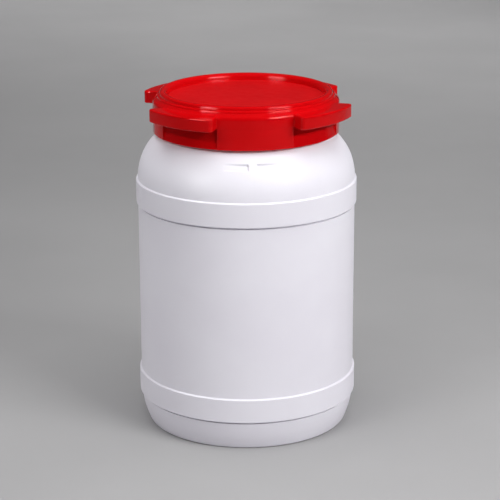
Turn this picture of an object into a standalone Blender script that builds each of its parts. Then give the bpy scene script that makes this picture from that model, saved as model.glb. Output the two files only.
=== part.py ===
"""Wide-neck plastic drum with a screw lid and a sealing ring.

Metres, +Z up. The origin is in the middle of the base, on the plane the drum stands on. The lid's lugs
point along X and Y. Bearings start at -Y and turn towards +X.
"""

import math

import bmesh
import bpy
from mathutils import Matrix, Vector

# Drum body: radii are measured to the outside of the plastic
WALL_RADIUS = 0.1452
BODY_WALL = 0.0026
HOOP_PROUD = 0.0023
HOOP_HEIGHT = 0.0325
HOOP_CHAMFER = 0.0015
LOWER_HOOP_FOOT = 0.0408
HOOP_SPACING = 0.2651
SHOULDER_RADIUS = 0.077
NECK_SETBACK = 0.0334
NECK_WALL = 0.0030
LIP_ROUND = 0.0012

# Base: a standing ring round a recess that nests on the lid of a drum below
FOOT_TROUGH = 0.0026
FOOT_ROUND = 0.0030
BASE_INSET = 0.0017
KNEE_INSET = 0.0050
KNEE_HEIGHT = 0.018
KNEE_ROUND = 0.030
STACK_PLAY = 0.0009
STACK_HEADROOM = 0.0025

# Two wedge-shaped pockets pressed into the shoulder, deepest at the land between them
MARK_BEARING = math.radians(42.5)
MARK_CLIMB = 0.0455
MARK_LENGTH = 0.033
MARK_HEIGHT = 0.0085
MARK_DEPTH = 0.0030
MARK_LAND = 0.0110

# Thread, right-handed, one start
THREAD_PITCH = 0.015
THREAD_DEPTH = 0.0024
THREAD_CREST = 0.0025
THREAD_FLANK = math.radians(35)
THREAD_PLAY = 0.0006
THREAD_ROOT = 0.0010
THREAD_FADE = 0.1
THREAD_MARGIN = 0.0116
THREAD_RUNOUT = 0.0012
NECK_THREAD_TURNS = 1.5
LID_THREAD_TURNS = 1.25

# Lid
LID_WALL = 0.0025
PLUG_PLAY = 0.0008
DISH_DEPTH = 0.0115
DISH_DRAFT = 0.0025
DISH_ROUND = 0.0070
RIM_WALL = 0.0022
RIM_ROUND = 0.0024
RIM_STEP_OUT = 0.0030
RIM_STEP_DOWN = 0.0048
RIM_LEDGE_FALL = 0.0007
SKIRT_WALL = 0.0034
SKIRT_LIFT = 0.0012
PANEL_PROUD = 0.0056
PANEL_DROP = 0.0116
PANEL_ROUND = 0.0030
CHANNEL_PLAY = 0.0006
CHANNEL_DEPTH = 0.0040

# Grip lugs of the lid, with a finger pocket under each
LUG_COUNT = 4
LUG_REACH = 0.0212
LUG_DROP = 0.0110
LUG_HEIGHT = 0.0167
LUG_HALF_WIDTH = 0.0450
LUG_FLARE = 0.0090
LUG_CORNER = 0.0055
LUG_ROUND = 0.0015
POCKET_FLARE = 0.0048

# Sealing ring
GASKET_THICKNESS = 0.0030
GASKET_PLAY = 0.0004
GASKET_CHAMFER = 0.0005

# Gap between faces that touch on the real object, and overlap of shapes that are joined
FIT_GAP = 0.0003
OVERLAP = 0.0010

# Facets, and the share of a side that the rounding of one corner may take
COLUMNS = 60
THREAD_STEPS = 60
ARC_STEP = math.radians(45)
SHOULDER_STEPS = 7
LUG_STEPS = 8
LUG_ROUND_STEPS = 2
MARK_STEPS = 5
SIDE_SHARE = 0.48
SHARP_ANGLE = math.radians(35)
MERGE_DISTANCE = 1e-6

# Heights and radii that follow from the driving dimensions, from the shoulder up
hoop_radius = WALL_RADIUS + HOOP_PROUD
upper_hoop_foot = LOWER_HOOP_FOOT + HOOP_SPACING
shoulder_start = upper_hoop_foot + HOOP_HEIGHT
shoulder_middle = WALL_RADIUS - SHOULDER_RADIUS
neck_radius = WALL_RADIUS - NECK_SETBACK
bore_radius = neck_radius - NECK_WALL
thread_radius = neck_radius + THREAD_DEPTH
lid_thread_radius = neck_radius + THREAD_PLAY
skirt_radius = thread_radius + THREAD_PLAY
pocket_radius = skirt_radius + SKIRT_WALL
panel_radius = pocket_radius + PANEL_PROUD
lug_radius = panel_radius + LUG_REACH
plug_radius = bore_radius - PLUG_PLAY
dish_radius = plug_radius - LID_WALL
channel_radius = neck_radius + CHANNEL_PLAY
rim_radius = channel_radius + RIM_WALL
rim_step_radius = rim_radius + RIM_STEP_OUT

thread_seat = (
    THREAD_CREST
    + (thread_radius - lid_thread_radius) * math.tan(THREAD_FLANK)
    + FIT_GAP / math.cos(THREAD_FLANK)
)
thread_half_root = THREAD_CREST / 2 + THREAD_DEPTH * math.tan(THREAD_FLANK)

shoulder_at_skirt = shoulder_start + math.sqrt(SHOULDER_RADIUS**2 - (skirt_radius - shoulder_middle) ** 2)
skirt_foot = shoulder_at_skirt + SKIRT_LIFT
lid_thread_foot = skirt_foot + THREAD_MARGIN
neck_thread_foot = lid_thread_foot + thread_seat
neck_thread_top = neck_thread_foot + NECK_THREAD_TURNS * THREAD_PITCH
channel_foot = neck_thread_top + thread_half_root + THREAD_RUNOUT
channel_mouth = channel_foot + skirt_radius - channel_radius
lip_height = channel_mouth + CHANNEL_DEPTH
gasket_foot = lip_height + FIT_GAP
channel_top = gasket_foot + GASKET_THICKNESS + FIT_GAP
rim_top = channel_top + LID_WALL
dish_floor = rim_top - DISH_DEPTH
panel_top = rim_top - PANEL_DROP
lug_top = rim_top - LUG_DROP
lug_foot = lug_top - LUG_HEIGHT

foot_inner = panel_radius + STACK_PLAY
foot_outer = foot_inner + FOOT_TROUGH + 2 * BODY_WALL
recess_radius = rim_step_radius + STACK_PLAY
recess_height = LUG_DROP + STACK_HEADROOM


def rounded(corners):
    """Points of an outline given as (across, up, rounding) corners. Its sides limit each rounding."""
    points = []
    for index, (across, up, rounding) in enumerate(corners):
        here = Vector((across, up))
        if not rounding:
            points.append(here)
            continue
        back = Vector(corners[index - 1][:2]) - here
        ahead = Vector(corners[(index + 1) % len(corners)][:2]) - here
        half_angle = back.angle(ahead) / 2
        shorter = min(back.length, ahead.length)
        reach = min(rounding / math.tan(half_angle), SIDE_SHARE * shorter)
        start = here + back.normalized() * reach
        inwards = (back.normalized() + ahead.normalized()).normalized()
        middle = here + inwards * reach / math.cos(half_angle)
        turn = math.copysign(math.pi - 2 * half_angle, ahead.cross(back))
        steps = max(1, math.ceil(abs(turn) / ARC_STEP))
        for step in range(steps + 1):
            points.append(middle + Matrix.Rotation(turn * step / steps, 2) @ (start - middle))
    return points


def polar(radius, bearing, height):
    """Point at a radius, bearing and height."""
    return Vector((radius * math.sin(bearing), -radius * math.cos(bearing), height))


def new_object(name, shape, material=None):
    """Object made from a bmesh, with its faces turned outwards."""
    bmesh.ops.recalc_face_normals(shape, faces=shape.faces)
    mesh = bpy.data.meshes.new(name)
    shape.to_mesh(mesh)
    shape.free()
    mesh.shade_smooth()
    mesh.set_sharp_from_angle(angle=SHARP_ANGLE)
    made = bpy.data.objects.new(name, mesh)
    bpy.context.scene.collection.objects.link(made)
    if material:
        mesh.materials.append(material)
    return made


def turned(profile, closed=False):
    """Solid of revolution of an (across, up) profile. An open profile starts and ends on the axis."""
    shape = bmesh.new()
    verts = [shape.verts.new((across, 0, up)) for across, up in profile]
    pairs = list(zip(verts, verts[1:]))
    if closed:
        pairs.append((verts[-1], verts[0]))
    edges = [shape.edges.new(pair) for pair in pairs]
    bmesh.ops.spin(
        shape,
        geom=verts + edges,
        cent=(0, 0, 0),
        axis=(0, 0, 1),
        angle=2 * math.pi,
        steps=COLUMNS,
        use_merge=True,
    )
    bmesh.ops.remove_doubles(shape, verts=shape.verts, dist=MERGE_DISTANCE)
    return shape


def loft(shape, rings):
    """Skin over rings of as many points each, capped at both ends. Returns the caps."""
    loops = [[shape.verts.new(point) for point in ring] for ring in rings]
    for lower, upper in zip(loops, loops[1:]):
        for index in range(len(lower)):
            after = (index + 1) % len(lower)
            shape.faces.new((lower[index], lower[after], upper[after], upper[index]))
    return [shape.faces.new(loops[0]), shape.faces.new(loops[-1])]


def standing(outline, bearing, height):
    """A plan outline of (outwards, sideways) points, turned to a bearing and raised to a height."""
    outwards = polar(1, bearing, 0)
    sideways = polar(1, bearing + math.pi / 2, 0)
    rise = Vector((0, 0, height))
    return [outwards * out + sideways * side + rise for out, side in outline]


def helix(shape, wall_radius, crest_radius, foot, turns):
    """Thread ridge that climbs round a wall from bearing zero, fading into the wall at both ends."""
    outwards = math.copysign(1, crest_radius - wall_radius)
    root_radius = wall_radius - outwards * THREAD_ROOT
    sunk_radius = wall_radius - outwards * THREAD_ROOT / 2
    steps = round(turns * THREAD_STEPS)
    rings = []
    for step in range(steps + 1):
        angle = 2 * math.pi * turns * step / steps
        from_end = min(step, steps - step) / (THREAD_FADE * THREAD_STEPS)
        crest = sunk_radius + (crest_radius - sunk_radius) * min(1, from_end)
        half_crest = THREAD_CREST / 2
        half_root = half_crest + abs(crest - root_radius) * math.tan(THREAD_FLANK)
        middle = foot + THREAD_PITCH * angle / (2 * math.pi)
        rings.append([
            polar(root_radius, angle, middle - half_root),
            polar(crest, angle, middle - half_crest),
            polar(crest, angle, middle + half_crest),
            polar(root_radius, angle, middle + half_root),
        ])
    loft(shape, rings)


def combine(target, tool, operation):
    """Boolean of a shape with a hidden helper."""
    tool.hide_render = True
    tool.display_type = "WIRE"
    tool.parent = target
    boolean = target.modifiers.new(tool.name, "BOOLEAN")
    boolean.operation = operation
    boolean.solver = "EXACT"
    boolean.object = tool


def plastic(name, colour, roughness):
    material = bpy.data.materials.new(name)
    material.use_nodes = True
    shader = material.node_tree.nodes["Principled BSDF"]
    shader.inputs["Base Color"].default_value = (*colour, 1)
    shader.inputs["Roughness"].default_value = roughness
    shader.inputs["Metallic"].default_value = 0
    return material


def body_side(inset):
    """Outline from the middle of the base up to the shoulder, set in from the outside."""
    corners = [
        (0, recess_height + inset, 0),
        (recess_radius + inset, recess_height + inset, FOOT_ROUND),
        (foot_inner + inset, inset, 0),
        (foot_outer - inset, inset, FOOT_ROUND),
        (WALL_RADIUS - KNEE_INSET - inset, KNEE_HEIGHT, KNEE_ROUND),
    ]
    for below, foot in ((WALL_RADIUS - BASE_INSET, LOWER_HOOP_FOOT), (WALL_RADIUS, upper_hoop_foot)):
        top = foot + HOOP_HEIGHT
        corners += [
            (below - inset, foot + inset, 0),
            (hoop_radius - inset, foot + inset, 0),
            (hoop_radius - inset, top - HOOP_CHAMFER - inset, 0),
            (WALL_RADIUS - inset, top - inset, 0),
        ]
    return rounded(corners)


def shoulder_section(angle, depth):
    """(across, up) of a point under the shoulder's face, at an angle up its arc."""
    radius = SHOULDER_RADIUS - depth
    return Vector((shoulder_middle + radius * math.cos(angle), shoulder_start + radius * math.sin(angle)))


def shoulder_arc(inset, end_radius):
    """Points of the shoulder's arc from just over the upper hoop to where it meets the neck."""
    sweep = math.acos((end_radius - shoulder_middle) / (SHOULDER_RADIUS - inset))
    return [shoulder_section(sweep * step / SHOULDER_STEPS, inset) for step in range(1, SHOULDER_STEPS + 1)]


def shoulder_point(bearing, climb, depth):
    """Point under the shoulder's face, at a distance up its arc."""
    across, up = shoulder_section(climb / SHOULDER_RADIUS, depth)
    return polar(across, bearing, up)


def mark_wedges(shape, wall, outer_depth):
    """The two wedges of the shoulder marks, grown on every side by a wall."""
    mark_radius = shoulder_middle + SHOULDER_RADIUS * math.cos(MARK_CLIMB / SHOULDER_RADIUS)
    low = MARK_CLIMB - MARK_HEIGHT / 2 - wall
    high = MARK_CLIMB + MARK_HEIGHT / 2 + wall
    for side in (-1, 1):
        rings = []
        for step in range(MARK_STEPS + 1):
            share = step / MARK_STEPS
            along = MARK_LAND / 2 - wall + (MARK_LENGTH + 2 * wall) * share
            bearing = MARK_BEARING + side * along / mark_radius
            depth = MARK_DEPTH * (1 - share) + wall
            rings.append([
                shoulder_point(bearing, low, outer_depth),
                shoulder_point(bearing, high, outer_depth),
                shoulder_point(bearing, high, depth),
                shoulder_point(bearing, low, depth),
            ])
        loft(shape, rings)


def drum_body():
    outside = body_side(0) + shoulder_arc(0, neck_radius)
    inside = body_side(BODY_WALL) + shoulder_arc(BODY_WALL, bore_radius)
    lip = rounded([
        (*outside[-1], 0),
        (neck_radius, lip_height, LIP_ROUND),
        (bore_radius, lip_height, LIP_ROUND),
        (*inside[-1], 0),
    ])
    profile = outside[:-1] + lip + inside[-2::-1]
    body = new_object("drum_body", turned(profile), plastic("natural_white", (0.76, 0.74, 0.79), 0.42))

    thread = bmesh.new()
    helix(thread, neck_radius, thread_radius, neck_thread_foot, NECK_THREAD_TURNS)
    combine(body, new_object("neck_thread", thread), "UNION")

    backing = bmesh.new()
    mark_wedges(backing, BODY_WALL, BODY_WALL - OVERLAP)
    combine(body, new_object("mark_backing", backing), "UNION")
    marks = bmesh.new()
    mark_wedges(marks, 0, -MARK_DEPTH)
    combine(body, new_object("mark_pockets", marks), "DIFFERENCE")
    return body


def lug_arc(radius, half_turn):
    """Plan points of an arc round the axis, even to both sides of a lug's middle."""
    turns = [half_turn * (2 * step / LUG_STEPS - 1) for step in range(LUG_STEPS + 1)]
    return [(radius * math.cos(turn), radius * math.sin(turn)) for turn in turns]


def lug_outline(root_radius, inset, corner):
    """Plan of a lug, set in by an inset: ends that flare past the panels, and an arc at root and face."""
    half_tip = LUG_HALF_WIDTH + LUG_FLARE
    knee = Vector((math.sqrt(panel_radius**2 - LUG_HALF_WIDTH**2), LUG_HALF_WIDTH))
    tip = Vector((math.sqrt(lug_radius**2 - half_tip**2), half_tip))
    along = (tip - knee).normalized()
    knee += Vector((along.y, -along.x)) * inset
    face_radius = lug_radius - inset
    towards = knee.dot(along)
    tip = knee + along * (math.sqrt(towards**2 - knee.length_squared + face_radius**2) - towards)
    face = [(*spot, 0) for spot in lug_arc(face_radius, math.atan2(tip.y, tip.x))[1:-1]]
    root = [(*spot, 0) for spot in lug_arc(root_radius, math.asin(knee.y / root_radius))[::-1]]
    near_end = [(knee.x, -knee.y, 0), (tip.x, -tip.y, corner)]
    far_end = [(tip.x, tip.y, corner), (knee.x, knee.y, 0)]
    return rounded(near_end + face + far_end + root)


def pocket_outline(radius):
    """Plan of a finger pocket: an arc against the skirt, straight ends, open past the panels."""
    half_width = LUG_HALF_WIDTH - FIT_GAP
    past = panel_radius + OVERLAP
    return lug_arc(radius, math.asin(half_width / radius)) + [(past, half_width), (past, -half_width)]


def lug_bearings():
    return [2 * math.pi * index / LUG_COUNT for index in range(LUG_COUNT)]


def lug_blocks():
    """Solid lugs, rooted in the skirt and rounded along the top and the bottom where they stand free."""
    shape = bmesh.new()
    outline = lug_outline(pocket_radius - SKIRT_WALL / 2, 0, LUG_CORNER)
    rims = []
    for bearing in lug_bearings():
        caps = loft(shape, [standing(outline, bearing, lug_foot), standing(outline, bearing, lug_top)])
        for edge in (edge for cap in caps for edge in cap.edges):
            if min(vert.co.xy.length for vert in edge.verts) > panel_radius - FIT_GAP:
                rims.append(edge)
    bmesh.ops.bevel(
        shape,
        geom=rims,
        offset=LUG_ROUND,
        segments=LUG_ROUND_STEPS,
        profile=0.5,
        affect="EDGES",
        clamp_overlap=True,
    )
    return shape


def finger_pockets():
    """Cutters for the pockets, which take the skirt back to its threaded wall under each lug."""
    shape = bmesh.new()
    low = pocket_outline(pocket_radius + POCKET_FLARE)
    high = pocket_outline(pocket_radius)
    foot = skirt_foot - OVERLAP
    top = lug_foot + OVERLAP
    for bearing in lug_bearings():
        loft(shape, [standing(low, bearing, foot), standing(high, bearing, top)])
    return shape


def lug_hollows():
    """Cutters for the hollow under each lug, which leave it one wall thick."""
    shape = bmesh.new()
    corner = max(LUG_CORNER - LID_WALL, 0)
    outline = lug_outline(pocket_radius + OVERLAP / 2, LID_WALL, corner)
    foot = lug_foot - OVERLAP
    ceiling = lug_top - LID_WALL
    for bearing in lug_bearings():
        loft(shape, [standing(outline, bearing, foot), standing(outline, bearing, ceiling)])
    return shape


def screw_lid():
    ledge_height = rim_top - RIM_STEP_DOWN
    profile = rounded([
        (0, dish_floor, 0),
        (dish_radius - DISH_DRAFT, dish_floor, DISH_ROUND),
        (dish_radius, rim_top, RIM_ROUND),
        (rim_radius, rim_top, RIM_ROUND),
        (rim_radius, ledge_height + RIM_LEDGE_FALL, 0),
        (rim_step_radius, ledge_height, 0),
        (panel_radius, panel_top, PANEL_ROUND),
        (panel_radius, skirt_foot, 0),
        (skirt_radius, skirt_foot, 0),
        (skirt_radius, channel_foot, 0),
        (channel_radius, channel_mouth, 0),
        (channel_radius, channel_top, 0),
        (plug_radius, channel_top, 0),
        (plug_radius - DISH_DRAFT, dish_floor - LID_WALL, DISH_ROUND),
        (0, dish_floor - LID_WALL, 0),
    ])
    lid = new_object("screw_lid", turned(profile), plastic("red", (0.60, 0.003, 0.005), 0.28))
    combine(lid, new_object("finger_pockets", finger_pockets()), "DIFFERENCE")
    combine(lid, new_object("lug_blocks", lug_blocks()), "UNION")
    combine(lid, new_object("lug_hollows", lug_hollows()), "DIFFERENCE")

    thread = bmesh.new()
    helix(thread, skirt_radius, lid_thread_radius, lid_thread_foot, LID_THREAD_TURNS)
    combine(lid, new_object("lid_thread", thread), "UNION")
    return lid


def gasket():
    inner = plug_radius + GASKET_PLAY
    outer = channel_radius - GASKET_PLAY
    top = gasket_foot + GASKET_THICKNESS
    profile = [
        (inner, top),
        (outer - GASKET_CHAMFER, top),
        (outer, top - GASKET_CHAMFER),
        (outer, gasket_foot),
        (inner, gasket_foot),
    ]
    rubber = plastic("black_rubber", (0.02, 0.02, 0.02), 0.7)
    return new_object("gasket", turned(profile, closed=True), rubber)


for leftover in list(bpy.data.objects):
    bpy.data.objects.remove(leftover, do_unlink=True)
drum_body()
screw_lid()
gasket()
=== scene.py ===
"""Looks of a wide-neck plastic drum: fine surfaces of its three pieces, materials, studio and camera.

Metres, +Z up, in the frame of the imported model. Bearings start at -Y and turn towards +X. The lid's lugs
point along X and Y.
"""

import math

import bmesh
import bpy
from mathutils import Euler, Matrix, Vector


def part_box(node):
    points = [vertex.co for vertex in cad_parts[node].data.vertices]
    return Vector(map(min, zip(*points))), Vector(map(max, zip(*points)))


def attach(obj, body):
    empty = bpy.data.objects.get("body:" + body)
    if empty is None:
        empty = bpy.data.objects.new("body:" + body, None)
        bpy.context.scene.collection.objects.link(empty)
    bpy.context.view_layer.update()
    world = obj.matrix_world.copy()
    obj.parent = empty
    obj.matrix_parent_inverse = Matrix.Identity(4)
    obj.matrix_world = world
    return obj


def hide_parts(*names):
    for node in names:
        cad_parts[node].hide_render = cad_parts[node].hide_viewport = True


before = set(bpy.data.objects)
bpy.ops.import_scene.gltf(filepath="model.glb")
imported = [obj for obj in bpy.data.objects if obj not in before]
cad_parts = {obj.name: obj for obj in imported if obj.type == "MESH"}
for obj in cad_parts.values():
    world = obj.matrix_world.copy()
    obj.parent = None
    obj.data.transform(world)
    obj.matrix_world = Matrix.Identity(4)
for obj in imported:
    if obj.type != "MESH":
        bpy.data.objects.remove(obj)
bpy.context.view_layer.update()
drum_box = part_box("drum_body")
lid_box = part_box("screw_lid")
gasket_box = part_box("gasket")

# Drum body
HOOP_PROUD = 0.0023
HOOP_HEIGHT = 0.0325
HOOP_CHAMFER = 0.0015
HOOP_EDGE = 0.0010
HOOP_CREASE = 0.0005
HOOP_GROOVE_DEPTH = 0.0024
HOOP_GROOVE_HEIGHT = 0.0026
HOOP_GROOVE_ROUND = 0.0002
LOWER_HOOP_FOOT = 0.0408
HOOP_SPACING = 0.2651
SHOULDER_RADIUS = 0.077
BODY_WALL = 0.0026
NECK_SETBACK = 0.0334
NECK_WALL = 0.0030
LIP_ROUND = 0.0012

# Base
FOOT_INNER = 0.1247
FOOT_INNER_ROUND = 0.0012
FOOT_OUTER = 0.1345
FOOT_OUTER_ROUND = 0.0045
RECESS_RADIUS = 0.1185
RECESS_HEIGHT = 0.0135
RECESS_ROUND = 0.0030
BASE_INSET = 0.0004
KNEE_INSET = 0.0026
KNEE_HEIGHT = 0.021
KNEE_ROUND = 0.085

# Shoulder marks
MARK_BEARING = math.radians(42.5)
MARK_CLIMB = 0.0455
MARK_LENGTH = 0.033
MARK_HEIGHT = 0.0085
MARK_DEPTH = 0.0030
MARK_LAND = 0.0110
MARK_EDGE = 0.0028

# Seam of the two mould halves, a quarter turn from the marks
SEAM_WIDTH = 0.0011
SEAM_PROUD = 0.00018

# Threads
THREAD_PITCH = 0.015
THREAD_DEPTH = 0.0024
THREAD_CREST = 0.0025
THREAD_FLANK = math.radians(35)
THREAD_FADE = 0.1  # of a turn, at each end
THREAD_SOFTNESS = 0.0004
NECK_THREAD_FOOT = 0.416625
NECK_THREAD_TURNS = 1.5
LID_THREAD_FOOT = 0.412498
LID_THREAD_TURNS = 1.25
LID_THREAD_DEPTH = 0.0024

# Lid
LID_WALL = 0.0025
PLUG_RADIUS = 0.1080
DISH_RADIUS = 0.1045
DISH_DEPTH = 0.0095
DISH_DRAFT = 0.0004
DISH_EDGE = 0.0062
DISH_ROUND = 0.0012
CHANNEL_RADIUS = 0.1124
CHANNEL_FALL = 0.0025
CHANNEL_DEPTH = 0.0076
CHANNEL_ROUND = 0.0005
RIM_RADIUS = 0.1146
RIM_ROUND = 0.0038
RIM_STEP_OUT = 0.0030
RIM_STEP_DOWN = 0.0058
RIM_LEDGE_FALL = 0.0007
RIM_EDGE = 0.0015
RIM_FACE = 0.0020
RIM_FACE_LEAN = 0.0004
RIM_CREASE = 0.0012
SKIRT_RADIUS = 0.1148
SKIRT_EDGE = 0.0005
POCKET_RADIUS = 0.1182
POCKET_FLARE = 0.0048
POCKET_EDGE = 0.0010
POCKET_EDGE_SHARE = 1 / 3  # of the pocket's depth, at most
PANEL_RADIUS = 0.1238
PANEL_DROP = 0.0133
PANEL_ROUND = 0.0055
PARTING_STEP = 0.00018

# Lugs of the lid
LUG_COUNT = 4
LUG_RADIUS = 0.1450
LUG_DROP = 0.0110
LUG_HEIGHT = 0.0167
LUG_HALF_WIDTH = 0.0450
LUG_FLARE = 0.0090
LUG_CORNER = 0.0055
LUG_ROUND = 0.0020
LUG_FOOT_ROUND = 0.0010
LUG_FILLET = 0.0012

# Sealing ring
GASKET_ROUND = 0.0005
GASKET_TOP_ROUND = 0.0010

# Steps of the fine surfaces, and the limits that keep them apart
ARC_STEP = math.radians(12)
BODY_COLUMNS = 240
SHOULDER_STEP = math.radians(2)
FINE_STEP = 0.0006
EDGE_STEP = 0.0003
MARK_STEP = 0.0018
THREAD_ROW = 0.0005
THREAD_SAMPLES = 4
FACE_ROW = 0.0013
POCKET_ROW = 0.0042
FACE_STEPS = 12
CORNER_STEPS = 6
WALL_STEPS = 4
FILLET_STEPS = 4
PANEL_STEPS = 10
ROUND_STEPS = 5
COLUMN_STEP = math.radians(0.05)  # least turn between columns of the lid
COLUMN_SHARE = 1 / 3  # of the even spacing, kept clear round close columns of the body
ROW_GAP = 0.00015  # least distance between rows of the lid
SIDE_SHARE = 0.96  # of a side, at most, for a rounding
STEP_SLACK = 1e-6
MERGE_DISTANCE = 2e-6
SHARP_ANGLE = math.radians(32)

# Colours in linear light, finishes, and noise scales per metre
BODY_COLOURS = (0.815, 0.790, 0.860, 1), (0.845, 0.825, 0.890, 1)
BODY_ROUGHNESS = 0.36, 0.46
BODY_SPECULAR = 0.2
BODY_CLOUDS = 9
BODY_SCUFFS = 140
BODY_WAVES = 160
BODY_WAVE_STRENGTH = 0.12
BODY_GRAIN = 1400
BODY_GRAIN_DETAIL = 1
BODY_GRAIN_STRENGTH = 0.10
LID_COLOURS = (0.51, 0.0010, 0.0022, 1), (0.57, 0.0014, 0.0032, 1)
LID_ROUGHNESS = 0.07, 0.10
LID_SPECULAR = 0.5
LID_SPECULAR_TINT = (1, 0.30, 0.30, 1)
LID_CLOUDS = 14
LID_SCUFFS = 90
LID_WAVES = 110
LID_WAVE_STRENGTH = 0.03
# Colours of the dish floor, painted a little lighter than the lid: painted light for the upward-facing
# floor lit from above
DISH_COLOURS_PAINTED_LIGHTER = (0.53, 0.0014, 0.0030, 1), (0.585, 0.0019, 0.0041, 1)
DISH_ROUGHNESS = 0.42, 0.47
RUBBER_COLOURS = (0.018, 0.018, 0.019, 1), (0.032, 0.031, 0.031, 1)
RUBBER_ROUGHNESS = 0.62, 0.78
RUBBER_CLOUDS = 60
RUBBER_GRAIN = 1200
RUBBER_GRAIN_DETAIL = 2
RUBBER_GRAIN_STRENGTH = 0.25
FLOOR_COLOURS = (0.372, 0.368, 0.372, 1), (0.390, 0.386, 0.390, 1)
FLOOR_ROUGHNESS = 0.9
FLOOR_CLOUDS = 3
NOISE_BAND = 0.35, 0.65
CLOUD_DETAIL = 3
SCUFF_DETAIL = 4
WAVE_DETAIL = 1
WAVE_HEIGHT = 0.0004
GRAIN_HEIGHT = 0.0001

# Lamps aimed at the drum: bearing from the camera and elevation in degrees, distance, width, height, watts.
# The softboxes are not seen in the gloss, and the strips are seen in the gloss only.
SOFTBOXES = {
    "overhead_softbox": (0, 84, 2.0, 2.2, 2.2, 40),
    "key_softbox": (47, 30, 2.3, 1.2, 0.25, 31),
    "fill_softbox": (-46, 37, 2.3, 1.1, 0.15, 11),
    "front_softbox": (-8, 3, 5.0, 6.0, 0.4, 14),
    "left_softbox": (-124, 7, 6.0, 6.4, 1.7, 74),
    "right_softbox": (100, 7, 6.0, 6.4, 1.7, 45),
}
STRIPS = {
    "left_strip": (-48, 24, 2.2, 0.9, 0.12, 36),
    "right_strip": (46, 38, 2.2, 0.9, 0.12, 40),
}
BACK_DISTANCE = 3.5
BACK_HEIGHT = 2.4
BACK_SIZE = 4.0, 1.8
BACK_WATTS = 28
BACK_SPREAD = math.radians(100)
FLOOR_REACH = 12
WORLD_COLOUR = (0.92, 0.92, 1.0, 1)
WORLD_STRENGTH = 0.04

# Camera, fitted to the drum's ring lines in a square picture
IMAGE_PIXELS = 500
FOCAL_PIXELS = 1817
SENSOR = 36
CAMERA_DISTANCE = 2.360
CAMERA_HEIGHT = 0.9436
CAMERA_BEARING = math.radians(39.1)
CAMERA_PITCH = math.radians(16.75)
CAMERA_ROLL = math.radians(0.216)
AXIS_PIXEL = 246.55

# Places that follow from the sizes and the frame
hoop_radius = drum_box[1].x
wall_radius = hoop_radius - HOOP_PROUD
lip_height = drum_box[1].z
upper_hoop_foot = LOWER_HOOP_FOOT + HOOP_SPACING
shoulder_start = upper_hoop_foot + HOOP_HEIGHT
shoulder_middle = wall_radius - SHOULDER_RADIUS
mark_radius = shoulder_middle + SHOULDER_RADIUS * math.cos(MARK_CLIMB / SHOULDER_RADIUS)
neck_radius = wall_radius - NECK_SETBACK
bore_radius = neck_radius - NECK_WALL
skirt_foot = lid_box[0].z
rim_top = lid_box[1].z
ledge_height = rim_top - RIM_STEP_DOWN
rim_step_radius = RIM_RADIUS + RIM_STEP_OUT
slope_radius = rim_step_radius + RIM_FACE_LEAN
slope_height = ledge_height - RIM_FACE
panel_top = rim_top - PANEL_DROP
lug_top = rim_top - LUG_DROP
lug_foot = lug_top - LUG_HEIGHT
dish_floor = rim_top - DISH_DEPTH
channel_top = rim_top - CHANNEL_FALL
channel_mouth = channel_top - CHANNEL_DEPTH
channel_foot = channel_mouth - (SKIRT_RADIUS - CHANNEL_RADIUS)
half_sector = math.pi / LUG_COUNT


def rounded(corners):
    """Points of an outline given as (across, up, rounding) corners. Its sides limit each rounding."""
    points = []
    for index, (across, up, rounding) in enumerate(corners):
        here = Vector((across, up))
        if not rounding:
            points.append(here)
            continue
        back = Vector(corners[index - 1][:2]) - here
        ahead = Vector(corners[(index + 1) % len(corners)][:2]) - here
        half_angle = back.angle(ahead) / 2
        reach = min(rounding / math.tan(half_angle), SIDE_SHARE * min(back.length, ahead.length))
        start = here + back.normalized() * reach
        inwards = (back.normalized() + ahead.normalized()).normalized()
        middle = here + inwards * reach / math.cos(half_angle)
        turn = math.copysign(math.pi - 2 * half_angle, ahead.cross(back))
        steps = max(2, math.ceil(abs(turn) / ARC_STEP))
        for step in range(steps + 1):
            points.append(middle + Matrix.Rotation(turn * step / steps, 2) @ (start - middle))
    return points


def spaced(start, end, spacing):
    """Numbers from start to end, no further apart than a spacing."""
    steps = max(1, math.ceil(abs(end - start) / spacing - STEP_SLACK))
    return [start + (end - start) * step / steps for step in range(steps + 1)]


def finer(points, low, high, spacing):
    """An outline with extra points on the straight stretches between two heights."""
    made = [points[0]]
    low -= MERGE_DISTANCE
    high += MERGE_DISTANCE
    for before, after in zip(points, points[1:]):
        inside = low <= min(before.y, after.y) and max(before.y, after.y) <= high
        steps = max(1, math.ceil((after - before).length / spacing)) if inside else 1
        made += [before.lerp(after, step / steps) for step in range(1, steps + 1)]
    return made


def polar(radius, bearing, height):
    """A point at a distance from the axis, a bearing and a height."""
    return Vector((radius * math.sin(bearing), -radius * math.cos(bearing), height))


def ring(spot, bearings):
    """Points round the axis at a profile point's radius and height."""
    return [polar(spot.x, bearing, spot.y) for bearing in bearings]


def smooth(share):
    """A share held between 0 and 1 and eased at both ends."""
    share = min(1, max(0, share))
    return share * share * (3 - 2 * share)


def skin(shape, rows, closed):
    """Quads between rows of as many points each, closed round the axis or open."""
    loops = [[shape.verts.new(point) for point in row] for row in rows]
    count = len(loops[0])
    for lower, upper in zip(loops, loops[1:]):
        for index in range(count if closed else count - 1):
            after = (index + 1) % count
            shape.faces.new((lower[index], lower[after], upper[after], upper[index]))


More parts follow.
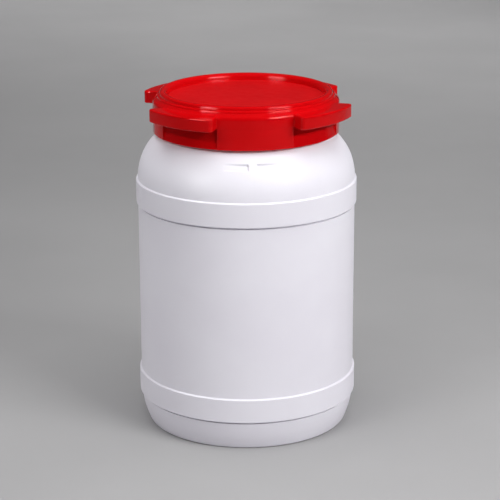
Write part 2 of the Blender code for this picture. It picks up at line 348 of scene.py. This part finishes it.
def new_piece(name, shape, material):
    """Object from a bmesh: seams merged, faces turned out, smooth with its real creases kept."""
    bmesh.ops.remove_doubles(shape, verts=shape.verts, dist=MERGE_DISTANCE)
    bmesh.ops.dissolve_degenerate(shape, edges=shape.edges, dist=MERGE_DISTANCE)
    bmesh.ops.recalc_face_normals(shape, faces=shape.faces)
    mesh = bpy.data.meshes.new(name)
    shape.to_mesh(mesh)
    shape.free()
    mesh.shade_smooth()
    mesh.set_sharp_from_angle(angle=SHARP_ANGLE)
    mesh.materials.append(material)
    piece = bpy.data.objects.new(name, mesh)
    bpy.context.scene.collection.objects.link(piece)
    weighted = piece.modifiers.new("weighted_normals", "WEIGHTED_NORMAL")
    weighted.keep_sharp = True
    return piece


def thread_height(bearing, height, foot, turns, depth):
    """How far a thread stands off its wall at a bearing and height."""
    half_crest = THREAD_CREST / 2
    flank = depth * math.tan(THREAD_FLANK)
    highest = 0
    for turn in range(math.ceil(turns)):
        angle = bearing % (2 * math.pi) + 2 * math.pi * turn
        to_end = min(angle, 2 * math.pi * turns - angle) / (2 * math.pi * THREAD_FADE)
        if to_end <= 0:
            continue
        middle = foot + THREAD_PITCH * angle / (2 * math.pi)
        shares = []
        for shift in spaced(-THREAD_SOFTNESS, THREAD_SOFTNESS, 2 * THREAD_SOFTNESS / THREAD_SAMPLES):
            away = abs(height - middle + shift)
            shares.append(min(1, max(0, (half_crest + flank - away) / flank)))
        highest = max(highest, depth * smooth(to_end) * sum(shares) / len(shares))
    return highest


# Drum body


def body_side(inset):
    """Outline from the middle of the base up to the shoulder, set in from the outside."""
    corners = [
        (0, RECESS_HEIGHT + inset, 0),
        (RECESS_RADIUS + inset, RECESS_HEIGHT + inset, RECESS_ROUND),
        (FOOT_INNER + inset, inset, FOOT_INNER_ROUND),
        (FOOT_OUTER - inset, inset, FOOT_OUTER_ROUND),
        (wall_radius - KNEE_INSET - inset, KNEE_HEIGHT, KNEE_ROUND),
    ]
    for below, foot in ((wall_radius - BASE_INSET, LOWER_HOOP_FOOT), (wall_radius, upper_hoop_foot)):
        top = foot + HOOP_HEIGHT
        groove_foot = foot - HOOP_GROOVE_HEIGHT
        groove_radius = below - HOOP_GROOVE_DEPTH
        corners += [
            (below - inset, groove_foot - inset, HOOP_GROOVE_ROUND),
            (groove_radius - inset, groove_foot - inset, HOOP_GROOVE_ROUND),
            (groove_radius - inset, foot + inset, HOOP_GROOVE_ROUND),
            (hoop_radius - inset, foot + inset, HOOP_CREASE),
            (hoop_radius - inset, top - HOOP_CHAMFER - inset, HOOP_EDGE),
            (wall_radius - inset, top - inset, HOOP_CREASE),
        ]
    corners[-1] = (*corners[-1][:2], 0)
    return rounded(corners)


def shoulder_arc(inset, end_radius):
    """Points of the shoulder's arc from over the upper hoop to the neck, close together at the marks."""
    radius = SHOULDER_RADIUS - inset
    sweep = math.acos((end_radius - shoulder_middle) / radius)
    low = (MARK_CLIMB - MARK_HEIGHT / 2 - MARK_EDGE) / SHOULDER_RADIUS
    high = (MARK_CLIMB + MARK_HEIGHT / 2 + MARK_EDGE) / SHOULDER_RADIUS
    angles = spaced(0, low, SHOULDER_STEP)[1:]
    angles += spaced(low, high, FINE_STEP / SHOULDER_RADIUS)[1:]
    angles += spaced(high, sweep, SHOULDER_STEP)[1:]
    points = []
    for angle in angles:
        across = shoulder_middle + radius * math.cos(angle)
        points.append(Vector((across, shoulder_start + radius * math.sin(angle))))
    return points


def mark_depth(bearing, climb):
    """Depth of the two wedge pockets at a bearing and a distance up the shoulder's arc."""
    turn = (bearing - MARK_BEARING + math.pi) % (2 * math.pi) - math.pi
    along = abs(turn) * mark_radius - MARK_LAND / 2
    inside = smooth((MARK_HEIGHT / 2 + MARK_EDGE / 2 - abs(climb - MARK_CLIMB)) / MARK_EDGE)
    start = smooth((MARK_EDGE / 2 + along) / MARK_EDGE)
    return MARK_DEPTH * inside * start * max(0, 1 - along / MARK_LENGTH)


def seam_height(bearing):
    """How far the mould seam stands off the wall at a bearing."""
    turn = (bearing - MARK_BEARING) % math.pi - math.pi / 2
    return SEAM_PROUD * smooth(1 - abs(turn) * wall_radius / SEAM_WIDTH)


def body_bearings():
    """Bearings of the body's columns: even, with close ones at the marks and the seam."""
    inner = MARK_LAND / 2
    outer = inner + MARK_LENGTH
    along = spaced(inner - MARK_EDGE, inner + MARK_EDGE, EDGE_STEP)
    along += spaced(inner + MARK_EDGE, outer, MARK_STEP)[1:]
    close = [MARK_BEARING + side * distance / mark_radius for side in (-1, 1) for distance in along]
    for seam in (MARK_BEARING - math.pi / 2, MARK_BEARING + math.pi / 2):
        close += [seam + offset / wall_radius for offset in spaced(-SEAM_WIDTH, SEAM_WIDTH, EDGE_STEP)]
    close = sorted(bearing % (2 * math.pi) for bearing in close)
    spacing = 2 * math.pi / BODY_COLUMNS
    even = [spacing * step for step in range(BODY_COLUMNS)]
    clear = spacing * COLUMN_SHARE
    kept = [bearing for bearing in even if min(abs(bearing - other) for other in close) > clear]
    return sorted(kept + close)


def body_point(across, up, bearing, outside):
    """A point of the body's profile at a bearing, with the marks, the thread and the seam."""
    from_middle = Vector((across - shoulder_middle, up - shoulder_start))
    if up > shoulder_start and from_middle.length < SHOULDER_RADIUS + FINE_STEP:
        climb = math.atan2(from_middle.y, from_middle.x) * SHOULDER_RADIUS
        dent = from_middle.normalized() * mark_depth(bearing, climb)
        across -= dent.x
        up -= dent.y
    if outside and abs(across - neck_radius) < MERGE_DISTANCE:
        across += thread_height(bearing, up, NECK_THREAD_FOOT, NECK_THREAD_TURNS, THREAD_DEPTH)
    if outside and up > KNEE_HEIGHT:
        across += seam_height(bearing)
    return polar(across, bearing, up)


def drum_body(material):
    outside = body_side(0) + shoulder_arc(0, neck_radius)
    inside = body_side(BODY_WALL) + shoulder_arc(BODY_WALL, bore_radius)
    lip = rounded([
        (*outside[-1], 0),
        (neck_radius, lip_height, LIP_ROUND),
        (bore_radius, lip_height, LIP_ROUND),
        (*inside[-1], 0),
    ])
    outside = outside[:-1] + finer(lip[:-1], outside[-1].y, lip_height - LIP_ROUND, THREAD_ROW)
    bearings = body_bearings()
    rows = [[body_point(*spot, bearing, True) for bearing in bearings] for spot in outside]
    rows += [[body_point(*spot, bearing, False) for bearing in bearings] for spot in inside[::-1]]
    shape = bmesh.new()
    skin(shape, rows, closed=True)
    return new_piece("drum", shape, material)


# Screw lid: half a lug and half a panel, mirrored and turned round the axis


def arc_points(middle, radius, start, end, steps):
    """Points of a plan arc between two directions less than half a turn apart."""
    first = math.atan2(start.y, start.x)
    turn = (math.atan2(end.y, end.x) - first + math.pi) % (2 * math.pi) - math.pi
    angles = [first + turn * step / steps for step in range(steps + 1)]
    return [middle + Vector((radius * math.cos(angle), radius * math.sin(angle))) for angle in angles]


def straight(start, end, steps):
    """Points of a plan line from start to end."""
    return [start.lerp(end, step / steps) for step in range(steps + 1)]


def along_line(start, direction, radius):
    """Point on a plan line where it reaches a radius from the axis."""
    towards = start.dot(direction)
    return start + direction * (math.sqrt(towards**2 - start.length_squared + radius**2) - towards)


def panel_arc(radius, start):
    """Plan points of a panel's face from a direction to the middle of the panel."""
    first = math.atan2(start.y, start.x)
    angles = [first + (half_sector - first) * step / PANEL_STEPS for step in range(PANEL_STEPS + 1)]
    return [Vector((radius * math.cos(angle), radius * math.sin(angle))) for angle in angles]


lug_root = Vector((math.sqrt(PANEL_RADIUS**2 - LUG_HALF_WIDTH**2), LUG_HALF_WIDTH))
half_tip = LUG_HALF_WIDTH + LUG_FLARE
lug_end = (Vector((math.sqrt(LUG_RADIUS**2 - half_tip**2), half_tip)) - lug_root).normalized()
lug_inwards = Vector((lug_end.y, -lug_end.x))
lug_corner_middle = along_line(lug_root + lug_inwards * LUG_CORNER, lug_end, LUG_RADIUS - LUG_CORNER)
lug_columns = FACE_STEPS + CORNER_STEPS + WALL_STEPS + 1


def lug_plan(inset, panel_radius):
    """Half the plan of a lug, from the middle of its face round its corner, and on along the panel."""
    ahead = Vector((1, 0))
    face = arc_points(Vector((0, 0)), LUG_RADIUS - inset, ahead, lug_corner_middle, FACE_STEPS)
    corner = arc_points(
        lug_corner_middle, LUG_CORNER - inset, lug_corner_middle, -lug_inwards, CORNER_STEPS
    )
    fillet_line = lug_root + lug_inwards * (inset - LUG_FILLET)
    fillet_middle = along_line(fillet_line, lug_end, panel_radius + LUG_FILLET)
    fillet = arc_points(fillet_middle, LUG_FILLET, lug_inwards, -fillet_middle, FILLET_STEPS)
    wall = straight(corner[-1], fillet[0], WALL_STEPS)
    return face + corner[1:] + wall[1:] + fillet[1:] + panel_arc(panel_radius, fillet_middle)[1:]


def pocket_plan(radius, half_width, panel_radius):
    """Half the plan of a finger pocket, from the middle of its wall to its end, and on along the panel."""
    ahead = Vector((1, 0))
    bend = min(POCKET_EDGE, (panel_radius - radius) * POCKET_EDGE_SHARE)
    out = math.sqrt((radius + bend) ** 2 - (half_width - bend) ** 2)
    corner_middle = Vector((out, half_width - bend))
    face = arc_points(Vector((0, 0)), radius, ahead, corner_middle, FACE_STEPS)
    corner = arc_points(corner_middle, bend, -corner_middle, Vector((0, 1)), CORNER_STEPS)
    out = math.sqrt((panel_radius - bend) ** 2 - (half_width + bend) ** 2)
    edge_middle = Vector((out, half_width + bend))
    edge = arc_points(edge_middle, bend, Vector((0, -1)), edge_middle, FILLET_STEPS)
    wall = straight(corner[-1], edge[0], WALL_STEPS)
    return face + corner[1:] + wall[1:] + edge[1:] + panel_arc(panel_radius, edge_middle)[1:]


def panel_share(column):
    """0 for the columns of the lug, 1 for those of the panel, and a rise over the fillet between them."""
    return min(1, max(0, (column - lug_columns + 1) / FILLET_STEPS))


def raised(plan, height, panel_height):
    """A plan row in space: the lug at one height, the panel at another, a slope between them."""
    row = []
    for column, (out, side) in enumerate(plan):
        row.append(Vector((out, side, height + (panel_height - height) * panel_share(column))))
    return row


def panel_reach(height):
    """Radius of the panel's face and of the slope over it at a height."""
    if height < lug_foot:
        return PANEL_RADIUS - PARTING_STEP
    slope = rounded([
        (slope_radius, slope_height, 0),
        (PANEL_RADIUS, panel_top, PANEL_ROUND),
        (PANEL_RADIUS, lug_foot, 0),
    ])
    for above, below in zip(slope, slope[1:]):
        if below.y <= height <= above.y:
            return above.lerp(below, (above.y - height) / (above.y - below.y)).x
    return PANEL_RADIUS


def directions(row):
    """Directions of a row's points from the axis, held back where the row would turn back."""
    turns = [math.atan2(spot.y, spot.x) for spot in row]
    for index in reversed(range(len(turns) - 1)):
        turns[index] = min(turns[index], turns[index + 1] - COLUMN_STEP)
    return [Vector((math.cos(turn), math.sin(turn))) for turn in turns]


def pocket_reach(height):
    """Radius of a finger pocket's wall at a height."""
    return POCKET_RADIUS + POCKET_FLARE * (lug_foot - height) / (lug_foot - skirt_foot)


def upper_rows():
    """Rows from the slope under the rim, over the lug's top and down its face to its lower edge."""
    top_plan = lug_plan(LUG_ROUND, panel_reach(lug_top))
    outwards = directions(top_plan)
    slope_run = (PANEL_RADIUS - slope_radius) / (slope_height - panel_top)
    hollow = rounded([
        (slope_radius, slope_height, 0),
        (slope_radius + (slope_height - lug_top) * slope_run, lug_top, LUG_ROUND),
        (LUG_RADIUS, lug_top, 0),
    ])[1:-1]
    first_height = (hollow[0].y + slope_height) / 2
    first = Vector((panel_reach(first_height), first_height))
    heights = spaced(first.y, lug_top + ROW_GAP, (first.y - lug_top) / (len(hollow) + 1))
    rows = []
    for index, spot in enumerate([first] + hollow):
        panel_height = heights[index]
        row = []
        for column, flat in enumerate(top_plan):
            share = panel_share(column)
            limit = flat.length - ROW_GAP * (len(hollow) - index)
            near = min(spot.x, limit) if index else spot.x
            reach = near + (panel_reach(panel_height) - near) * share
            place = outwards[column] * reach
            row.append(Vector((*place, spot.y + (panel_height - spot.y) * share)))
        rows.append(row)
    for step in range(ROUND_STEPS + 1):
        angle = math.pi / 2 * step / ROUND_STEPS
        height = lug_top - LUG_ROUND * (1 - math.cos(angle))
        inset = LUG_ROUND * (1 - math.sin(angle))
        rows.append(raised(lug_plan(inset, panel_reach(height)), height, height))
    for height in spaced(lug_top - LUG_ROUND, lug_foot + LUG_FOOT_ROUND, FACE_ROW)[1:-1]:
        rows.append(raised(lug_plan(0, panel_reach(height)), height, height))
    for step in range(ROUND_STEPS + 1):
        angle = math.pi / 2 * step / ROUND_STEPS
        height = lug_foot + LUG_FOOT_ROUND * (1 - math.sin(angle))
        inset = LUG_FOOT_ROUND * (1 - math.cos(angle))
        rows.append(raised(lug_plan(inset, panel_reach(height)), height, height))
    return rows


def lower_rows():
    """Rows from the lug's lower edge down the pocket and the panel to the foot of the skirt."""
    rows = []
    for height in spaced(lug_foot, skirt_foot + SKIRT_EDGE, POCKET_ROW):
        panel_height = min(height, lug_foot - PARTING_STEP)
        plan = pocket_plan(pocket_reach(height), LUG_HALF_WIDTH, panel_reach(panel_height))
        if height == lug_foot:
            rows.append(raised(plan, height, panel_height))
        else:
            rows.append([Vector((*spot, height)) for spot in plan])
    rows.append([edged(spot, SKIRT_EDGE) for spot in rows[-1]])
    return rows


def edged(spot, edge):
    """A point of the skirt's outline moved down and in by the rounding of its lower edge."""
    flat = spot.xy
    return Vector((*(flat - flat.normalized() * edge), spot.z - edge))


def lug_cup(upper, lower):
    """Rows of the hollow under a lug, from its lower rim up to its ceiling, along half its outline."""
    end = lug_columns
    rim = lower[0][:end] + upper[-1][end - 1::-1]
    pocket = pocket_plan(POCKET_RADIUS, LUG_HALF_WIDTH - LID_WALL, PANEL_RADIUS)
    lug = lug_plan(LID_WALL, PANEL_RADIUS)
    start = FACE_STEPS + CORNER_STEPS
    knee = lug_root + lug_inwards * LID_WALL
    wall = straight(pocket[start], knee, WALL_STEPS) + straight(knee, lug[start], WALL_STEPS + 1)[1:]
    inner = pocket[:start] + wall + lug[start - 1::-1]
    ceiling = lug_top - LID_WALL
    rows = [rim]
    for height in (lug_foot + SKIRT_EDGE, (lug_foot + ceiling) / 2, ceiling):
        rows.append([Vector((*spot, height)) for spot in inner])
    return rows


def placed(spot, bearing, side):
    """A point of the half sector in the world, mirrored by a side of -1."""
    outwards = polar(1, bearing, 0)
    sideways = polar(1, bearing + math.pi / 2, 0)
    return outwards * spot.x + sideways * spot.y * side + Vector((0, 0, spot.z))


def lug_bearings():
    """Bearings of the middles of the lugs."""
    return [2 * half_sector * index for index in range(LUG_COUNT)]


def ring_bearings(row):
    """Bearings round the whole lid of the columns of a half sector's row."""
    angles = [math.atan2(spot.y, spot.x) for spot in row]
    bearings = []
    for bearing in lug_bearings():
        bearings += [bearing - angle for angle in angles[:0:-1]]
        bearings += [bearing + angle for angle in angles[:-1]]
    return bearings


def lid_top(first):
    """Profile from the slope under the rim, over the rim and into the dish."""
    return rounded([
        (*first, 0),
        (slope_radius, slope_height, RIM_CREASE),
        (rim_step_radius, ledge_height, RIM_EDGE),
        (RIM_RADIUS, ledge_height + RIM_LEDGE_FALL, RIM_CREASE),
        (RIM_RADIUS, rim_top, RIM_ROUND),
        (DISH_RADIUS, rim_top, DISH_EDGE),
        (DISH_RADIUS - DISH_DRAFT, dish_floor, DISH_ROUND),
        (DISH_RADIUS / 2, dish_floor, 0),
        (0, dish_floor, 0),
    ])


def lid_inside():
    """Profile from the skirt's foot up its threaded wall, round the channel and along the underside."""
    underside = dish_floor - LID_WALL
    skirt = rounded([
        (SKIRT_RADIUS + SKIRT_EDGE, skirt_foot, 0),
        (SKIRT_RADIUS, skirt_foot + SKIRT_EDGE, 0),
        (SKIRT_RADIUS, channel_foot, 0),
        (CHANNEL_RADIUS, channel_mouth, 0),
        (CHANNEL_RADIUS, channel_top, CHANNEL_ROUND),
        (PLUG_RADIUS, channel_top, CHANNEL_ROUND),
        (PLUG_RADIUS - DISH_DRAFT, underside, DISH_ROUND),
        (PLUG_RADIUS / 2, underside, 0),
        (0, underside, 0),
    ])
    return finer(skirt[:3], skirt_foot, channel_foot, THREAD_ROW) + skirt[3:]


def inside_row(spot, bearings):
    """Points round the inside of the lid, with the thread on its wall."""
    if abs(spot.x - SKIRT_RADIUS) > MERGE_DISTANCE:
        return ring(spot, bearings)
    row = []
    for bearing in bearings:
        ridge = thread_height(bearing, spot.y, LID_THREAD_FOOT, LID_THREAD_TURNS, LID_THREAD_DEPTH)
        row.append(polar(spot.x - ridge, bearing, spot.y))
    return row


def screw_lid(material):
    shape = bmesh.new()
    upper = upper_rows()
    lower = lower_rows()
    cup = lug_cup(upper, lower)
    foot_radius = SKIRT_RADIUS + SKIRT_EDGE
    inner_foot = [Vector((*(outwards * foot_radius), skirt_foot)) for outwards in directions(lower[-1])]
    strip = [upper[-1][lug_columns - 1:], lower[0][lug_columns - 1:]]
    for bearing in lug_bearings():
        for side in (-1, 1):
            for rows in (upper, strip, lower, [lower[-1], inner_foot], cup):
                skin(shape, [[placed(spot, bearing, side) for spot in row] for row in rows], closed=False)
            shape.faces.new([shape.verts.new(placed(spot, bearing, side)) for spot in cup[-1]])

    top = lid_top(Vector((upper[0][0].xy.length, upper[0][0].z)))
    bearings = ring_bearings(upper[0])
    skin(shape, [ring(spot, bearings) for spot in top], closed=True)
    bearings = ring_bearings(inner_foot)
    skin(shape, [inside_row(spot, bearings) for spot in lid_inside()], closed=True)
    return new_piece("lid", shape, material)


# Sealing ring


def gasket(material):
    outer = gasket_box[1].x
    inner = PLUG_RADIUS + (CHANNEL_RADIUS - outer)
    low = gasket_box[0].z
    high = gasket_box[1].z
    profile = rounded([
        (inner, low, GASKET_ROUND),
        (outer, low, GASKET_ROUND),
        (outer, high, GASKET_TOP_ROUND),
        (inner, high, GASKET_ROUND),
    ])
    bearings = [2 * math.pi * step / BODY_COLUMNS for step in range(BODY_COLUMNS)]
    shape = bmesh.new()
    skin(shape, [ring(spot, bearings) for spot in profile + profile[:1]], closed=True)
    return new_piece("sealing_ring", shape, material)


# Materials


class Nodes:
    """Short way to build a material's node tree."""

    def __init__(self, name):
        self.material = bpy.data.materials.new(name)
        self.material.use_nodes = True
        self.tree = self.material.node_tree
        self.shader = self.tree.nodes["Principled BSDF"]
        self.place = self.tree.nodes.new("ShaderNodeTexCoord").outputs["Object"]

    def set(self, socket, value):
        if isinstance(value, bpy.types.NodeSocket):
            self.tree.links.new(value, socket)
        else:
            socket.default_value = value

    def add(self, kind, settings, inputs):
        node = self.tree.nodes.new(kind)
        for name, value in settings.items():
            setattr(node, name, value)
        for name, value in inputs.items():
            self.set(node.inputs[name], value)
        return node

    def noise(self, scale, detail):
        inputs = {"Vector": self.place, "Scale": scale, "Detail": detail}
        return self.add("ShaderNodeTexNoise", {}, inputs).outputs["Fac"]

    def spread(self, value, band, results):
        """A value mapped from a band to a range of results, and held at its ends."""
        inputs = {"Value": value}
        inputs["From Min"], inputs["From Max"] = band
        inputs["To Min"], inputs["To Max"] = results
        return self.add("ShaderNodeMapRange", {}, inputs).outputs["Result"]

    def mix(self, factor, colours):
        node = self.add("ShaderNodeMix", {"data_type": "RGBA"}, {"Factor": factor})
        sockets = [socket for socket in node.inputs if socket.type == "RGBA"]
        for socket, colour in zip(sockets, colours):
            self.set(socket, colour)
        return next(socket for socket in node.outputs if socket.type == "RGBA")

    def clouds(self, scale, colours):
        return self.mix(self.spread(self.noise(scale, CLOUD_DETAIL), NOISE_BAND, (0, 1)), colours)

    def scuffs(self, scale, roughness):
        return self.spread(self.noise(scale, SCUFF_DETAIL), NOISE_BAND, roughness)

    def bump(self, height, distance, strength, under=None):
        inputs = {"Height": height, "Distance": distance, "Strength": strength}
        if under is not None:
            inputs["Normal"] = under
        return self.add("ShaderNodeBump", {}, inputs).outputs["Normal"]

    def finish(self, inputs):
        for name, value in inputs.items():
            self.set(self.shader.inputs[name], value)
        return self.material


def natural_plastic():
    nodes = Nodes("natural_white")
    waves = nodes.bump(nodes.noise(BODY_WAVES, WAVE_DETAIL), WAVE_HEIGHT, BODY_WAVE_STRENGTH)
    grain = nodes.noise(BODY_GRAIN, BODY_GRAIN_DETAIL)
    return nodes.finish({
        "Base Color": nodes.clouds(BODY_CLOUDS, BODY_COLOURS),
        "Roughness": nodes.scuffs(BODY_SCUFFS, BODY_ROUGHNESS),
        "Normal": nodes.bump(grain, GRAIN_HEIGHT, BODY_GRAIN_STRENGTH, waves),
        "Specular IOR Level": BODY_SPECULAR,
    })


def red_plastic():
    """Glossy red, duller on the floor of the dish, where the colour is also painted a little lighter as
    painted light from above.
    """
    nodes = Nodes("red")
    flat = nodes.add("ShaderNodeVectorMath", {"operation": "MULTIPLY"}, {})
    nodes.set(flat.inputs[0], nodes.place)
    nodes.set(flat.inputs[1], (1, 1, 0))
    across = nodes.add("ShaderNodeVectorMath", {"operation": "LENGTH"}, {})
    nodes.set(across.inputs[0], flat.outputs["Vector"])
    edge = DISH_RADIUS - DISH_DRAFT
    in_dish = nodes.spread(across.outputs["Value"], (edge, edge - DISH_ROUND), (0, 1))
    # The dish floor gets the lighter colours, which are painted light from above; its higher roughness is
    # its real duller finish
    colours = nodes.clouds(LID_CLOUDS, LID_COLOURS), nodes.clouds(LID_CLOUDS, DISH_COLOURS_PAINTED_LIGHTER)
    finishes = nodes.scuffs(LID_SCUFFS, LID_ROUGHNESS), nodes.scuffs(LID_SCUFFS, DISH_ROUGHNESS)
    waves = nodes.noise(LID_WAVES, WAVE_DETAIL)
    return nodes.finish({
        "Base Color": nodes.mix(in_dish, colours),
        "Roughness": nodes.spread(in_dish, (0, 1), finishes),
        "Specular IOR Level": LID_SPECULAR,
        "Specular Tint": LID_SPECULAR_TINT,
        "Normal": nodes.bump(waves, WAVE_HEIGHT, LID_WAVE_STRENGTH),
    })


def black_rubber():
    nodes = Nodes("black_rubber")
    grain = nodes.noise(RUBBER_GRAIN, RUBBER_GRAIN_DETAIL)
    return nodes.finish({
        "Base Color": nodes.clouds(RUBBER_CLOUDS, RUBBER_COLOURS),
        "Roughness": nodes.scuffs(RUBBER_CLOUDS, RUBBER_ROUGHNESS),
        "Normal": nodes.bump(grain, GRAIN_HEIGHT, RUBBER_GRAIN_STRENGTH),
    })


# Studio and camera


def pale_floor():
    mesh = bpy.data.meshes.new("floor")
    corners = [(-1, -1), (1, -1), (1, 1), (-1, 1)]
    mesh.from_pydata([(x * FLOOR_REACH, y * FLOOR_REACH, 0) for x, y in corners], [], [range(4)])
    floor = bpy.data.objects.new("floor", mesh)
    bpy.context.scene.collection.objects.link(floor)
    nodes = Nodes("pale_floor")
    colour = nodes.clouds(FLOOR_CLOUDS, FLOOR_COLOURS)
    mesh.materials.append(nodes.finish({"Base Color": colour, "Roughness": FLOOR_ROUGHNESS}))


def softbox(name, place, aim, size, watts, spread=math.pi):
    light = bpy.data.lights.new(name, "AREA")
    light.shape = "RECTANGLE"
    light.size, light.size_y = size
    light.energy = watts
    light.spread = spread
    lamp = bpy.data.objects.new(name, light)
    lamp.location = place
    lamp.rotation_euler = (aim - place).to_track_quat("-Z", "Y").to_euler()
    bpy.context.scene.collection.objects.link(lamp)
    return lamp


def aimed(name, place):
    """A lamp aimed at the drum from a place given as in SOFTBOXES and STRIPS."""
    turn, elevation, distance, width, height, watts = place
    up = math.radians(elevation)
    towards = polar(math.cos(up), CAMERA_BEARING + math.radians(turn), math.sin(up))
    aim = Vector((0, 0, lip_height / 2))
    return softbox(name, aim + towards * distance, aim, (width, height), watts)


def studio():
    for name, place in SOFTBOXES.items():
        aimed(name, place).visible_glossy = False
    for name, place in STRIPS.items():
        aimed(name, place).visible_diffuse = False
    behind = polar(BACK_DISTANCE, CAMERA_BEARING + math.pi, 0)
    above = behind + Vector((0, 0, BACK_HEIGHT))
    softbox("back_softbox", above, behind, BACK_SIZE, BACK_WATTS, BACK_SPREAD).visible_glossy = False
    world = bpy.data.worlds.new("studio")
    world.use_nodes = True
    background = world.node_tree.nodes["Background"]
    background.inputs["Color"].default_value = WORLD_COLOUR
    background.inputs["Strength"].default_value = WORLD_STRENGTH
    bpy.context.scene.world = world
    bpy.context.scene.view_settings.view_transform = "Standard"


def camera():
    lens = bpy.data.cameras.new("camera")
    lens.sensor_width = SENSOR
    lens.lens = FOCAL_PIXELS / IMAGE_PIXELS * SENSOR
    viewer = bpy.data.objects.new("camera", lens)
    viewer.location = polar(CAMERA_DISTANCE, CAMERA_BEARING, CAMERA_HEIGHT)
    aside = math.atan((IMAGE_PIXELS / 2 - AXIS_PIXEL) / FOCAL_PIXELS)
    level = Euler((math.pi / 2 - CAMERA_PITCH, 0, CAMERA_BEARING - aside)).to_matrix()
    viewer.rotation_euler = (level @ Matrix.Rotation(-CAMERA_ROLL, 3, "Z")).to_euler()
    bpy.context.scene.collection.objects.link(viewer)
    bpy.context.scene.camera = viewer


for made, body, node, slot in (
    (drum_body(natural_plastic()), "drum", "drum_body", "natural_white"),
    (screw_lid(red_plastic()), "lid", "screw_lid", "red"),
    (gasket(black_rubber()), "seal", "gasket", "black_rubber"),
):
    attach(made, body)
    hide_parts(node)
pale_floor()
studio()
camera()
